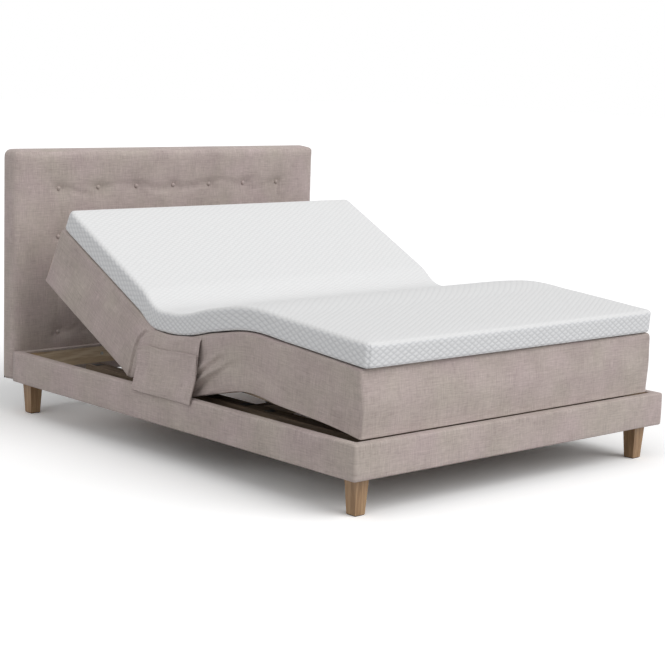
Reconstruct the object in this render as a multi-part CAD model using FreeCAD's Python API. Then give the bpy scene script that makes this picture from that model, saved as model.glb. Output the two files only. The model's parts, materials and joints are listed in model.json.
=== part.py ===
import FreeCAD, Part
import math
import os
from FreeCAD import Placement, Rotation, Vector

# Adjustable double bed: an upholstered bed frame and headboard on four oak legs, with a
# motorised box mattress in four hinged sections and a topper on it.
# Millimetres.  +Z is up, the headboard is at +Y, the foot at -Y, "left" is -X.
# The sections are drawn lying flat and then turned to the raised position at rest.

# ---------------------------------------------------------------- driving dimensions
mattress_width = 1600
leg_section = 655
thigh_section = 315
seat_section = 265
back_section = 765

side_gap = 17                 # box side to the rail's bare inner face
foot_gap = 10
head_gap = 109                # box end to the head rail

rail_board = 22
rail_padding = 16             # foam and cloth outside the board
rail_lip = 4                  # cloth folded over the board's top and bottom edge
rail_height = 132
head_rail_board = 24
head_rail_height = 80

headboard_top = 1142
headboard_board = 22
headboard_foam = 55
headboard_cloth = 2
headboard_wrap = 10           # foam and cloth round the board's edges
headboard_corner = 36
headboard_bolt_count = 4
headboard_bolt_pitch = 272
button_columns = 7
button_rows = 4
button_pitch_x = 207
button_pitch_z = 211
button_first_z = 339
button_radius = 11
button_thickness = 6
dimple_radius = 13
dimple_depth = 12

leg_height = 140
leg_top_side = 62
leg_foot_side = 46
leg_side_inset = 51           # leg's top edge to the side rail's outer face
leg_foot_inset = 45           # leg's top edge to the foot rail's outer face
head_leg_from_back = 111      # leg's centre to the headboard's back
glide_thickness = 3
glide_inset = 2
plate_side = 72
stud_radius = 5
stud_in_leg = 55
stud_in_block = 46

corner_block_side = 80
corner_block_height = 100
bolt_radius = 4
bolt_head_radius = 7
bolt_head_height = 5
bolt_in_board = 17
bolt_spread = 44
long_bolt_height = 82         # bolts into the side rail, above the board's lower edge
cross_bolt_height = 62        # bolts into the foot and head rails
fit_clearance = 0.1           # radial, a bolt or stud in its hole
through = 1                   # how far a cut runs past the face it opens
touch = 0.1                   # how near a plane an edge lies on it

ledge_width = 30
ledge_height = 40
bearer_width = 45
bearer_height = 48
foot_bearer = 250             # bearer's centre, from the frame's foot face
leg_bearer = 168              # bearer at the drives' foot end, from the thigh hinge line
seat_bearer = 177             # bearer at the drives' head end, from the back hinge line
back_bearer = 1730            # bearer's centre, from the frame's foot face
base_rail_width = 70
base_rail_height = 30
base_rail_inset = 100         # base rail's centre to the mattress's side
base_rail_foot_end = 60       # base rail's ends to the mattress's ends
base_rail_head_end = 250
support_leg_radius = 20
support_foot_radius = 26
support_foot_height = 10

box_drop = 6                  # box's underside when flat, below the rail's top
box_height = 235
topper_height = 95
topper_side_inset = 5
topper_foot_inset = 4
buffer_thickness = 1.5
buffer_side = 36
buffer_from_end = 36          # buffer's centre to the base rail's end
buffer_from_hinge = 72        # buffer's centre to the nearest hinge line
pack_from_hinge = 36          # packer's centre to a hinge line of the fixed seat section
rest_clearance = 0.5          # flat section above its rubber buffer

frame_skirt = 8               # foam and cloth outside a section's timber frame
frame_board = 18
frame_height = 100
frame_deck = 12
section_gap = 4
frame_end_cloth = 3
hinge_height = 110            # back and thigh hinge axes above the box's underside
knee_height = 14              # knee hinge axis above the box's underside
leaf_thickness = 5
leaf_gap = 0.5
leaf_eye_radius = 12
leaf_pad_start = 24
leaf_pad_length = 60
leaf_pad_drop = 22
leaf_pad_height = 48
pin_radius = 6
pin_clearance = 0.05
pin_head_radius = 10
pin_head_height = 5
pocket_clearance = 3

back_travel = 60              # degrees, flat to fully raised
thigh_travel = 35
leg_fall = 0.36               # leg section's fall for each degree of thigh rise
back_at_rest = 27
thigh_at_rest = 12.5
wedge_slack = 0.5             # degrees of extra room at each closing end face

drive_x = 150                 # drives stand this far right and left of the middle
lever_radius = 200
lever_pad_start = 12
lever_pad_length = 118
lever_pad_width = 80
lever_plate = 6
tine_inner = 18
tine_thickness = 8
tine_tip_radius = 14
tine_root_start = 14
tine_root_length = 76
shoe_radius = 17
shoe_thickness = 8
drive_play = 2.6              # thrust block to lever shoe, when the lever hangs straight
block_half_width = 38
block_length = 40
block_height = 60
screw_radius = 8
screw_clearance = 0.3
channel_clearance = 2
channel_wall = 3
channel_wall_height = 55
channel_bottom = 148
slide_clearance = 1
end_plate = 10
end_plate_room = 7
end_plate_height = 50
riser_half_width = 30
housing_length = 150
housing_half_width = 50
housing_height = 82
housing_round = 12
housing_room = 6

control_width = 160
control_depth = 92
control_height = 40
control_x = 410
control_wall_round = 5
inlet_width = 26
inlet_height = 16
inlet_depth = 14

flap_start = 903              # flap's foot-side edge, from the frame's foot face
flap_width = 372
flap_cloth = 3
flap_overhang = 30            # how far it hangs below the rail's top
flap_side_clearance = 1.5
flap_top_drop = 8             # flap's upper edge below the box's top
flap_seam = 20                # height of the seam that holds it to the seat section
flap_rail_clearance = 0.5
pocket_mouth_drop = 62        # pocket's mouth below the flap's upper edge, along the slope
pocket_mouth_depth = 7
pocket_end_depth = 3
pocket_seam = 10
pocket_base = 20              # pocket's bottom above the bend at the rail, along the slope

# ---------------------------------------------------------------- derived places
rail_thickness = rail_board + rail_padding
half_box = mattress_width / 2
rail_inner_x = half_box + side_gap
board_outer_x = rail_inner_x + rail_board
half_width = board_outer_x + rail_padding
headboard_thickness = headboard_board + headboard_foam + headboard_cloth
sections_length = leg_section + thigh_section + seat_section + back_section
bed_length = (rail_thickness + foot_gap + sections_length + head_gap + head_rail_board
              + headboard_thickness)

foot_y = -bed_length / 2
head_y = bed_length / 2
foot_inner_y = foot_y + rail_thickness
box_foot_y = foot_inner_y + foot_gap
knee_y = box_foot_y + leg_section
thigh_hinge_y = knee_y + thigh_section
back_hinge_y = thigh_hinge_y + seat_section
box_head_y = back_hinge_y + back_section
headboard_front_y = head_y - headboard_thickness
head_rail_y = headboard_front_y - head_rail_board

rail_bottom = leg_height
rail_top = leg_height + rail_height
board_bottom = rail_bottom + rail_lip
board_top = rail_top - rail_lip
head_rail_bottom = board_top - head_rail_height
box_bottom = rail_top - box_drop
box_top = box_bottom + box_height
topper_top = box_top + topper_height
hinge_z = box_bottom + hinge_height
knee_z = box_bottom + knee_height

base_rail_top = box_bottom - rest_clearance - buffer_thickness
base_rail_bottom = base_rail_top - base_rail_height
bearer_top = base_rail_bottom
bearer_bottom = bearer_top - bearer_height
ledge_bottom = bearer_bottom - ledge_height
base_rail_x = half_box - base_rail_inset
leg_bearer_y = thigh_hinge_y - leg_bearer
seat_bearer_y = back_hinge_y + seat_bearer
bearer_ys = [foot_y + foot_bearer, leg_bearer_y, seat_bearer_y, foot_y + back_bearer]

frame_side_x = half_box - frame_skirt
frame_inner_x = frame_side_x - frame_board

back_wedge = back_travel / 2 + wedge_slack
thigh_wedge = thigh_travel / 2 + wedge_slack
knee_wedge = (1 + leg_fall) * thigh_travel / 2 + wedge_slack


# ---------------------------------------------------------------- small helpers
def box(x0, x1, y0, y1, z0, z1):
    return Part.makeBox(x1 - x0, y1 - y0, z1 - z0, Vector(x0, y0, z0))


def centred_box(x, y, half_x, half_y, z0, z1):
    return box(x - half_x, x + half_x, y - half_y, y + half_y, z0, z1)


def prism_x(points, x0, x1):
    """Extrude a closed outline of (y, z) points along X."""
    wire = Part.makePolygon([Vector(x0, y, z) for y, z in points + points[:1]])
    return Part.Face(wire).extrude(Vector(x1 - x0, 0, 0))


def prism_y(points, y0, y1):
    """Extrude a closed outline of (x, z) points along Y."""
    wire = Part.makePolygon([Vector(x, y0, z) for x, z in points + points[:1]])
    return Part.Face(wire).extrude(Vector(0, y1 - y0, 0))


def prism_z(points, z0, z1):
    """Extrude a closed outline of (x, y) points along Z."""
    wire = Part.makePolygon([Vector(x, y, z0) for x, y in points + points[:1]])
    return Part.Face(wire).extrude(Vector(0, 0, z1 - z0))


def rod(start, end, radius):
    axis = end - start
    return Part.makeCylinder(radius, axis.Length, start, axis)


def cut(shape, *tools):
    for tool in tools:
        shape = shape.cut(tool)
    return shape


def join(*shapes):
    result = shapes[0]
    for shape in shapes[1:]:
        result = result.fuse(shape)
    return result.removeSplitter()


def mirror_x(shape):
    return shape.mirror(Vector(0, 0, 0), Vector(1, 0, 0))


def round_edges(shape, radius, wanted):
    """Fillet the edges whose middle satisfies wanted(point)."""
    edges = [edge for edge in shape.Edges if wanted(edge.CenterOfMass)]
    return shape.makeFillet(radius, edges)


def write(node, *shapes):
    """One STEP file for each node; a node may be a group of separate solids."""
    solids = [solid for shape in shapes for solid in shape.Solids]
    whole = solids[0] if len(solids) == 1 else Part.makeCompound(solids)
    whole.exportStep("parts/%s.step" % node)


# ---------------------------------------------------------------- the raised position
def turned(shape, y, z, degrees):
    """Turn a shape about the line along X through (y, z); positive lifts its +Y side."""
    pivot = Vector(0, y, z)
    return shape.transformed(
        Placement(Vector(0, 0, 0), Rotation(Vector(1, 0, 0), degrees), pivot).toMatrix(), True)


def raise_back(shape):
    return turned(shape, back_hinge_y, hinge_z, back_at_rest)


def raise_thigh(shape):
    return turned(shape, thigh_hinge_y, hinge_z, -thigh_at_rest)


def raise_leg(shape):
    bent = turned(shape, knee_y, knee_z, (1 + leg_fall) * thigh_at_rest)
    return raise_thigh(bent)


# ---------------------------------------------------------------- bed frame
def make_rails():
    side = box(rail_inner_x, board_outer_x, foot_inner_y, headboard_front_y,
               board_bottom, board_top)
    foot = box(-board_outer_x, board_outer_x, foot_inner_y - rail_board, foot_inner_y,
               board_bottom, board_top)
    head = box(-rail_inner_x, rail_inner_x, head_rail_y, headboard_front_y,
               head_rail_bottom, board_top)
    return side, foot, head


def make_rail_covers(side, foot):
    """Padded cloth round the outside, top and bottom of the boards, mitred at the foot."""
    side_plan = [(half_width, foot_y), (half_width, headboard_front_y),
                 (rail_inner_x, headboard_front_y), (rail_inner_x, foot_inner_y)]
    foot_plan = [(-half_width, foot_y), (half_width, foot_y),
                 (rail_inner_x, foot_inner_y), (-rail_inner_x, foot_inner_y)]
    side_cover = cut(prism_z(side_plan, rail_bottom, rail_top), side, foot)
    foot_cover = cut(prism_z(foot_plan, rail_bottom, rail_top), foot)
    return side_cover, foot_cover


def corner_blocks_and_bolts():
    """Blocks in the four corners; each takes two bolts into each of its two boards."""
    side = corner_block_side
    places = [(foot_inner_y, -1), (head_rail_y - side, 1)]
    blocks, bolts, holes = [], [], []
    mid_x = rail_inner_x - side / 2
    long_z = board_bottom + long_bolt_height
    cross_z = board_bottom + cross_bolt_height
    for y0, towards in places:
        block = box(rail_inner_x - side, rail_inner_x, y0, y0 + side,
                    board_bottom, board_bottom + corner_block_height)
        for shift in (-bolt_spread / 2, bolt_spread / 2):
            y = y0 + side / 2 + shift
            start = Vector(rail_inner_x - side, y, long_z)
            bolts.append((start, Vector(1, 0, 0)))
            y_face = y0 if towards > 0 else y0 + side
            bolts.append((Vector(mid_x + shift, y_face, cross_z), Vector(0, towards, 0)))
        blocks.append(block)
    shapes = []
    for start, way in bolts:
        end = start + way * (side + bolt_in_board)
        shank = rod(start, end, bolt_radius)
        head = rod(start - way * bolt_head_height, start, bolt_head_radius)
        shapes.append(join(shank, head))
        holes.append(rod(start - way * through, end + way * through,
                         bolt_radius + fit_clearance))
    return blocks, shapes, holes


def make_legs():
    """Tapered square oak legs with their plates, studs and felt glides."""
    x = half_width - leg_side_inset - leg_top_side / 2
    stations = {"foot": foot_y + leg_foot_inset + leg_top_side / 2,
                "head": head_y - head_leg_from_back}
    legs, plates, studs, glides, holes = {}, [], [], [], []
    for name, y in stations.items():
        top = square_wire(x, y, leg_top_side / 2, rail_bottom)
        foot = square_wire(x, y, leg_foot_side / 2, glide_thickness)
        stud_end = board_bottom + stud_in_block
        stud = rod(Vector(x, y, rail_bottom - stud_in_leg), Vector(x, y, stud_end), stud_radius)
        hole = rod(Vector(x, y, rail_bottom - stud_in_leg - through),
                   Vector(x, y, stud_end + through), stud_radius + fit_clearance)
        leg = cut(Part.makeLoft([foot, top], True, True), hole)
        plate_y = min(max(y, foot_inner_y + plate_side / 2), head_rail_y - plate_side / 2)
        plate = centred_box(rail_inner_x - plate_side / 2, plate_y, plate_side / 2,
                            plate_side / 2, rail_bottom, board_bottom)
        legs[name] = leg
        plates.append(cut(plate, hole))
        studs.append(stud)
        holes.append(hole)
        half_glide = leg_foot_side / 2 - glide_inset
        glides.append(centred_box(x, y, half_glide, half_glide, 0, glide_thickness))
    return legs, plates, studs, glides, holes


def square_wire(x, y, half, z):
    corners = [Vector(x - half, y - half, z), Vector(x + half, y - half, z),
               Vector(x + half, y + half, z), Vector(x - half, y + half, z)]
    return Part.makePolygon(corners + corners[:1])


def both_sides(shapes):
    return [mirror_x(shape) for shape in shapes] + list(shapes)


def build_bed_frame():
    side, foot, head = make_rails()
    side_cover, foot_cover = make_rail_covers(side, foot)
    blocks, bolts, bolt_holes = corner_blocks_and_bolts()
    legs, plates, studs, glides, stud_holes = make_legs()
    plate_seats = [cut(cover, *both_sides(plates)) for cover in (side_cover, foot_cover)]
    side = cut(side, *bolt_holes)
    foot = cut(foot, *both_sides(bolt_holes))
    head = cut(head, *both_sides(bolt_holes), *headboard_bolt_holes())
    blocks = [cut(block, *bolt_holes, *stud_holes) for block in blocks]
    write("side_rail_left", mirror_x(side))
    write("side_rail_right", side)
    write("foot_rail", foot)
    write("head_rail", head)
    write("rail_cover_left", mirror_x(plate_seats[0]))
    write("rail_cover_right", plate_seats[0])
    write("rail_cover_foot", plate_seats[1])
    write("corner_blocks", *both_sides(blocks))
    write("corner_bolts", *both_sides(bolts))
    for name, leg in legs.items():
        write("leg_%s_left" % name, mirror_x(leg))
        write("leg_%s_right" % name, leg)
    write("leg_plates", *both_sides(plates))
    write("leg_studs", *both_sides(studs))
    return glides


# ---------------------------------------------------------------- headboard
def headboard_bolt_places():
    z = (head_rail_bottom + board_top) / 2
    first_x = -headboard_bolt_pitch * (headboard_bolt_count - 1) / 2
    return [Vector(first_x + index * headboard_bolt_pitch, head_rail_y, z)
            for index in range(headboard_bolt_count)]


def headboard_bolt_length():
    return head_rail_board + headboard_foam + bolt_in_board


def headboard_bolt_holes():
    way = Vector(0, 1, 0)
    return [rod(start - way * through, start + way * (headboard_bolt_length() + through),
                bolt_radius + fit_clearance) for start in headboard_bolt_places()]


def button_places():
    for row in range(button_rows):
        for column in range(button_columns):
            x = (column - (button_columns - 1) / 2) * button_pitch_x
            yield x, button_first_z + row * button_pitch_z


def rounded_board(inset, y0, y1):
    """A board with its two upper corners rounded, set in from the headboard's outline."""
    half = half_width - inset
    top = headboard_top - inset
    slab = box(-half, half, y0, y1, rail_bottom + inset, top)
    return round_edges(slab, headboard_corner - inset,
                       lambda p: abs(abs(p.x) - half) < touch and abs(p.z - top) < touch)


def build_headboard():
    foam_back = headboard_front_y + headboard_foam
    cloth_front = head_y - headboard_cloth
    holes = headboard_bolt_holes()
    board = rounded_board(headboard_wrap, foam_back, cloth_front)
    padding = cut(rounded_board(0, headboard_front_y, cloth_front), board, *holes)
    forward = Vector(0, 1, 0)
    dimples, buttons = [], []
    for x, z in button_places():
        mouth = Vector(x, headboard_front_y, z)
        bottom = mouth + forward * dimple_depth
        dimples.append(rod(mouth - forward * through, bottom, dimple_radius))
        buttons.append(rod(bottom - forward * button_thickness, bottom, button_radius))
    padding = padding.cut(Part.makeCompound(dimples))
    bolts = []
    for start in headboard_bolt_places():
        shank = rod(start, start + forward * headboard_bolt_length(), bolt_radius)
        head = rod(start - forward * bolt_head_height, start, bolt_head_radius)
        bolts.append(join(shank, head))
    write("headboard_panel", cut(board, *holes))
    write("headboard_padding", padding)
    write("headboard_buttons", *buttons)
    write("headboard_back_cloth", rounded_board(headboard_wrap / 2, cloth_front, head_y))
    write("headboard_bolts", *bolts)


# ---------------------------------------------------------------- base under the mattress
def build_base(glides):
    ledge_y0 = foot_inner_y + corner_block_side
    ledge_y1 = head_rail_y - corner_block_side
    ledge = box(rail_inner_x - ledge_width, rail_inner_x, ledge_y0, ledge_y1,
                ledge_bottom, bearer_bottom)
    bearers = [centred_box(0, y, rail_inner_x, bearer_width / 2, bearer_bottom, bearer_top)
               for y in bearer_ys]
    write("ledge_battens", *both_sides([ledge]))
    write("cross_bearers", *bearers)

    half = base_rail_width / 2
    y0 = box_foot_y + base_rail_foot_end
    y1 = box_head_y - base_rail_head_end
    batten = box(base_rail_x - half, base_rail_x + half, y0, y1, base_rail_bottom, base_rail_top)
    write("base_rail_left", mirror_x(batten))
    write("base_rail_right", batten)

    buffer_top = base_rail_top + buffer_thickness
    stations = [y0 + buffer_from_end, knee_y - buffer_from_hinge, knee_y + buffer_from_hinge,
                back_hinge_y + buffer_from_hinge, y1 - buffer_from_end]
    buffers = [centred_box(base_rail_x, y, buffer_side / 2, buffer_side / 2,
                           base_rail_top, buffer_top) for y in stations]
    seat_packs = [centred_box(base_rail_x, y, buffer_side / 2, buffer_side / 2,
                              base_rail_top, box_bottom)
                  for y in (thigh_hinge_y + pack_from_hinge, back_hinge_y - pack_from_hinge)]
    write("rest_buffers", *both_sides(buffers + seat_packs))

    legs, feet = [], []
    for y in (leg_bearer_y, seat_bearer_y):
        legs.append(rod(Vector(0, y, support_foot_height), Vector(0, y, bearer_bottom),
                        support_leg_radius))
        feet.append(rod(Vector(0, y, 0), Vector(0, y, support_foot_height),
                        support_foot_radius))
    write("support_legs", *legs)
    write("floor_glides", *both_sides(glides), *feet)


# ---------------------------------------------------------------- mattress sections
def end_line(y, inward, hinge, inset, top):
    """Points up one end of a section: plain, or cut away where a hinge closes on it."""
    kind, wedge = hinge
    if kind == "free":
        return [(y + inward * inset, box_bottom), (y + inward * inset, top)]
    start = y + inward * (section_gap / 2 + inset)
    lean = math.tan(math.radians(wedge))
    if kind == "low":
        foot = start + inward * lean * (knee_z - box_bottom)
        return [(foot, box_bottom), (start, knee_z), (start, top)]
    points = [(start, box_bottom), (start, min(hinge_z, top))]
    if top > hinge_z:
        points.append((start + inward * lean * (top - hinge_z), top))
    return points


def outline(section, free_inset, hinge_inset, top):
    """A section's side view, from the box's underside to top."""
    y0, y1, foot_hinge, head_hinge = section
    insets = [free_inset if hinge[0] == "free" else hinge_inset
              for hinge in (foot_hinge, head_hinge)]
    up = end_line(y0, 1, foot_hinge, insets[0], top)
    down = end_line(y1, -1, head_hinge, insets[1], top)
    return up + down[::-1]


sections = {
    "leg": (box_foot_y, knee_y, ("free", 0), ("low", knee_wedge)),
    "thigh": (knee_y, thigh_hinge_y, ("low", knee_wedge), ("high", thigh_wedge)),
    "seat": (thigh_hinge_y, back_hinge_y, ("high", thigh_wedge), ("high", back_wedge)),
    "back": (back_hinge_y, box_head_y, ("high", back_wedge), ("free", 0)),
}

# hinge: axis place, the way its screw pads lie from the axis, section on each side
hinges = {
    "back": (back_hinge_y, hinge_z, -1, {"seat": -1, "back": 1}),
    "thigh": (thigh_hinge_y, hinge_z, -1, {"seat": 1, "thigh": -1}),
    "knee": (knee_y, knee_z, 1, {"thigh": 1, "leg": -1}),
}
outer_leaf = {"back": "seat", "thigh": "seat", "knee": "thigh"}


def leaf_outline(axis_y, axis_z, side, pad_way):
    near = axis_y + side * leaf_pad_start
    far = near + side * leaf_pad_length
    inner = axis_z + pad_way * leaf_pad_drop
    outer = inner + pad_way * leaf_pad_height
    arm = [(axis_y, axis_z - pad_way * leaf_eye_radius), (near, inner),
           (near, inner + pad_way * leaf_pad_height / 2), (axis_y, axis_z + pad_way * leaf_eye_radius)]
    pad = [(near, inner), (far, inner), (far, outer), (near, outer)]
    return arm, pad


def make_leaf(hinge, section):
    """One right-hand hinge leaf: an eye on the axis, an arm and a pad screwed to the board."""
    axis_y, axis_z, pad_way, sides = hinges[hinge]
    arm, pad = leaf_outline(axis_y, axis_z, sides[section], pad_way)
    outer = outer_leaf[hinge] == section
    x1 = frame_inner_x if outer else frame_inner_x - leaf_thickness - leaf_gap
    x0 = x1 - leaf_thickness
    eye = rod(Vector(x0, axis_y, axis_z), Vector(x1, axis_y, axis_z), leaf_eye_radius)
    leaf = join(eye, prism_x(arm, x0, x1), prism_x(pad, x0, frame_inner_x))
    hole = rod(Vector(x0 - through, axis_y, axis_z), Vector(x1 + through, axis_y, axis_z),
               pin_radius + pin_clearance)
    return leaf.cut(hole)


def make_pin(hinge):
    axis_y, axis_z = hinges[hinge][:2]
    inner = frame_inner_x - 2 * leaf_thickness - leaf_gap
    head_face = inner - leaf_gap / 2
    shank = rod(Vector(head_face, axis_y, axis_z), Vector(frame_inner_x, axis_y, axis_z),
                pin_radius)
    head = rod(Vector(head_face - pin_head_height, axis_y, axis_z),
               Vector(head_face, axis_y, axis_z), pin_head_radius)
    return join(shank, head)


def hinge_pocket(hinge, section):
    """Room inside a section for its right-hand leaf, the pin and the other leaf's eye."""
    axis_y, axis_z, pad_way, sides = hinges[hinge]
    side = sides[section]
    eye = leaf_eye_radius + pocket_clearance
    reach = leaf_pad_start + leaf_pad_length + pocket_clearance
    depth = leaf_pad_drop + leaf_pad_height + pocket_clearance
    ys = sorted((axis_y - side * eye, axis_y + side * reach))
    zs = sorted((axis_z - pad_way * eye, axis_z + pad_way * depth))
    inner = frame_inner_x - 2 * leaf_thickness - leaf_gap - pin_head_height - pocket_clearance
    return box(inner, frame_inner_x, ys[0], ys[1], zs[0], zs[1])


def make_section(name):
    """Timber tray frame, upholstered spring and foam box round and over it, and topper."""
    section = sections[name]
    y0, y1 = section[:2]
    pockets = both_sides([hinge_pocket(hinge, name) for hinge in hinges
                          if name in hinges[hinge][3]])
    solid = prism_x(outline(section, frame_skirt, frame_end_cloth, box_bottom + frame_height),
                    -frame_side_x, frame_side_x)
    end0 = frame_skirt if section[2][0] == "free" else section_gap / 2 + frame_end_cloth
    end1 = frame_skirt if section[3][0] == "free" else section_gap / 2 + frame_end_cloth
    hollow = box(-frame_inner_x, frame_inner_x, y0 + end0 + frame_board,
                 y1 - end1 - frame_board, box_bottom + frame_deck, hinge_z)
    frame = solid.cut(hollow)
    upholstery = prism_x(outline(section, 0, 0, box_top), -half_box, half_box).cut(frame)
    frame = cut(frame, *pockets)
    upholstery = cut(upholstery, *pockets)
    whole = prism_x(outline(section, topper_foot_inset, 0, topper_top),
                    -half_box + topper_side_inset, half_box - topper_side_inset)
    topper = whole.common(box(-half_box, half_box, y0, y1, box_top, topper_top))
    return frame, upholstery, topper


def build_section(name, place, leaves):
    frame, upholstery, topper = make_section(name)
    write("%s_frame" % name, place(frame))
    write("%s_upholstery" % name, place(upholstery))
    write("%s_topper" % name, place(topper))
    shapes = both_sides([make_leaf(hinge, name) for hinge in leaves])
    write("%s_hinge_leaves" % name, *[place(shape) for shape in shapes])


# ---------------------------------------------------------------- drives
def swing(angle_from_down):
    """Lever tip (along, up) from its hinge axis, at an angle from straight down."""
    a = math.radians(angle_from_down)
    return lever_radius * math.sin(a), -lever_radius * math.cos(a)


def make_lever(axis_y, way, travel, x):
    """Forked lever under a section, drawn flat; way is +1 when the section lies at +Y."""
    along, up = swing(-travel / 2)
    tip_y = axis_y + way * along
    tip_z = hinge_z + up
    root_z = box_bottom - lever_plate
    near = axis_y + way * tine_root_start
    far = near + way * tine_root_length
    middle = (near + far) / 2
    length = math.hypot(tip_y - middle, tip_z - root_z)
    normal_y = (tip_z - root_z) / length * tine_tip_radius
    normal_z = -(tip_y - middle) / length * tine_tip_radius
    upper = (tip_y + way * normal_y, tip_z + way * normal_z)
    lower = (tip_y - way * normal_y, tip_z - way * normal_z)
    side = [(near, root_z), upper, lower, (far, root_z)]
    pad_y = sorted((axis_y + way * lever_pad_start,
                    axis_y + way * (lever_pad_start + lever_pad_length)))
    parts = [box(x - lever_pad_width / 2, x + lever_pad_width / 2, pad_y[0], pad_y[1],
                 root_z, box_bottom)]
    for hand in (-1, 1):
        x0, x1 = sorted((x + hand * tine_inner, x + hand * (tine_inner + tine_thickness)))
        outside = x + hand * (tine_inner + tine_thickness + shoe_thickness)
        parts.append(prism_x(side, x0, x1))
        parts.append(rod(Vector(x0, tip_y, tip_z), Vector(x1, tip_y, tip_z), tine_tip_radius))
        shoe = sorted((outside, x + hand * (tine_inner + tine_thickness)))
        parts.append(rod(Vector(shoe[0], tip_y, tip_z), Vector(shoe[1], tip_y, tip_z),
                         shoe_radius))
    return join(*parts)


def block_ratio(travel):
    """Thrust block travel in mm for each radian of its section, exact at both limits."""
    half = math.radians(travel / 2)
    return lever_radius * math.sin(half) / half


def build_drive(name, axis_y, way, travel, at_rest, x):
    """Screw drive under the bed; its thrust block pushes the section's lever along Y."""
    def at(distance):
        return axis_y + way * distance

    def span(near, far):
        return sorted((at(near), at(far)))

    reach = swing(travel / 2)[0]
    floor_z = channel_bottom + channel_wall
    block_bottom = floor_z + slide_clearance
    screw_z = block_bottom + block_height / 2
    face = block_ratio(travel) * math.radians(at_rest - travel / 2) - shoe_radius - drive_play
    y0, y1 = span(face - block_length, face)
    block = box(x - block_half_width, x + block_half_width, y0, y1,
                block_bottom, block_bottom + block_height)

    gear_face = -reach - shoe_radius - drive_play - block_length - housing_room
    plate_near = reach + shoe_radius + end_plate_room
    screw_line = (Vector(x, at(gear_face), screw_z), Vector(x, at(plate_near + end_plate), screw_z))
    screw = rod(screw_line[0], screw_line[1], screw_radius)
    bore = rod(screw_line[0], screw_line[1] + Vector(0, way * through, 0),
               screw_radius + screw_clearance)

    inner = block_half_width + channel_clearance
    outer = inner + channel_wall
    half_bearer = bearer_width / 2
    strip = box(x - outer, x + outer, leg_bearer_y - half_bearer, seat_bearer_y + half_bearer,
                channel_bottom, floor_z)
    y0, y1 = span(gear_face, plate_near + end_plate)
    walls = [box(x - outer, x - inner, y0, y1, floor_z, floor_z + channel_wall_height),
             box(x + inner, x + outer, y0, y1, floor_z, floor_z + channel_wall_height)]
    y0, y1 = span(plate_near, plate_near + end_plate)
    plate = box(x - inner, x + inner, y0, y1, floor_z, floor_z + end_plate_height)
    risers = [centred_box(x, y, riser_half_width, half_bearer, floor_z, bearer_bottom)
              for y in (leg_bearer_y, seat_bearer_y)]
    channel = join(strip, *walls, plate, *risers).cut(bore)

    y0, y1 = span(gear_face - housing_length, gear_face)
    housing = box(x - housing_half_width, x + housing_half_width, y0, y1,
                  floor_z, floor_z + housing_height)
    top_z = floor_z + housing_height
    housing = round_edges(housing, housing_round, lambda p: abs(p.z - top_z) < touch)
    write("%s_drive_channel" % name, channel)
    write("%s_drive_screw" % name, screw)
    write("%s_drive_housing" % name, housing)
    write("%s_thrust_block" % name, block.cut(bore))


def build_control_box():
    y = seat_bearer_y
    case = centred_box(control_x, y, control_width / 2, control_depth / 2,
                       bearer_bottom - control_height, bearer_bottom)
    low = bearer_bottom - control_height
    case = round_edges(case, control_wall_round, lambda p: abs(p.z - low) < touch)
    front = y - control_depth / 2
    middle = low + control_height / 2
    inlet = box(control_x - inlet_width / 2, control_x + inlet_width / 2,
                front - through, front + inlet_depth, middle - inlet_height / 2,
                middle + inlet_height / 2)
    write("control_box", case.cut(inlet))


# ---------------------------------------------------------------- side flaps
def build_side_flaps():
    """A cloth flap over each side rail, with a shallow pocket sewn on its outside."""
    top_x = half_box + flap_side_clearance
    top_z = box_top - flap_top_drop
    bend_x = half_width + flap_rail_clearance
    bend_z = rail_top + flap_rail_clearance
    slope = Vector(bend_x - top_x, 0, bend_z - top_z)
    length = slope.Length
    down = slope * (1 / length)
    out = Vector(-down.z, 0, down.x)

    def at(distance, depth):
        point = Vector(top_x, 0, top_z) + down * distance + out * depth
        return point.x, point.z

    low_z = rail_top - flap_overhang
    y0 = foot_y + flap_start
    y1 = y0 + flap_width
    cloth = flap_cloth
    flap = [at(0, 0), at(length, 0), (bend_x, low_z), (bend_x + cloth, low_z),
            (bend_x + cloth, bend_z), at(length, cloth), at(0, cloth)]
    mouth = pocket_mouth_drop
    inside = [at(mouth - through, cloth), at(length - pocket_base, cloth),
              at(length - pocket_base, cloth + pocket_end_depth),
              at(mouth - through, cloth + pocket_mouth_depth)]
    patch = [at(mouth, cloth), at(length, cloth), (bend_x + cloth, bend_z),
             (bend_x + cloth, low_z), (bend_x + 2 * cloth, low_z), (bend_x + 2 * cloth, bend_z),
             at(length - pocket_seam, 2 * cloth + pocket_end_depth),
             at(mouth, 2 * cloth + pocket_mouth_depth)]
    pocket = prism_y(inside, y0 + pocket_seam, y1 - pocket_seam)
    seam_low = at(flap_seam, 0)
    seam = [(half_box, top_z), at(0, 0), seam_low, (half_box, seam_low[1])]
    thigh_lean, back_lean = [math.tan(math.radians(wedge)) * (top_z - hinge_z) + section_gap
                             for wedge in (thigh_wedge, back_wedge)]
    stitched = prism_y(seam, thigh_hinge_y + thigh_lean, back_hinge_y - back_lean)
    write("side_flaps", *both_sides([join(prism_y(flap, y0, y1), stitched)]))
    write("pocket_patches", *both_sides([prism_y(patch, y0, y1).cut(pocket)]))


# ---------------------------------------------------------------- the whole bed
def keep(shape):
    return shape


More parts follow.
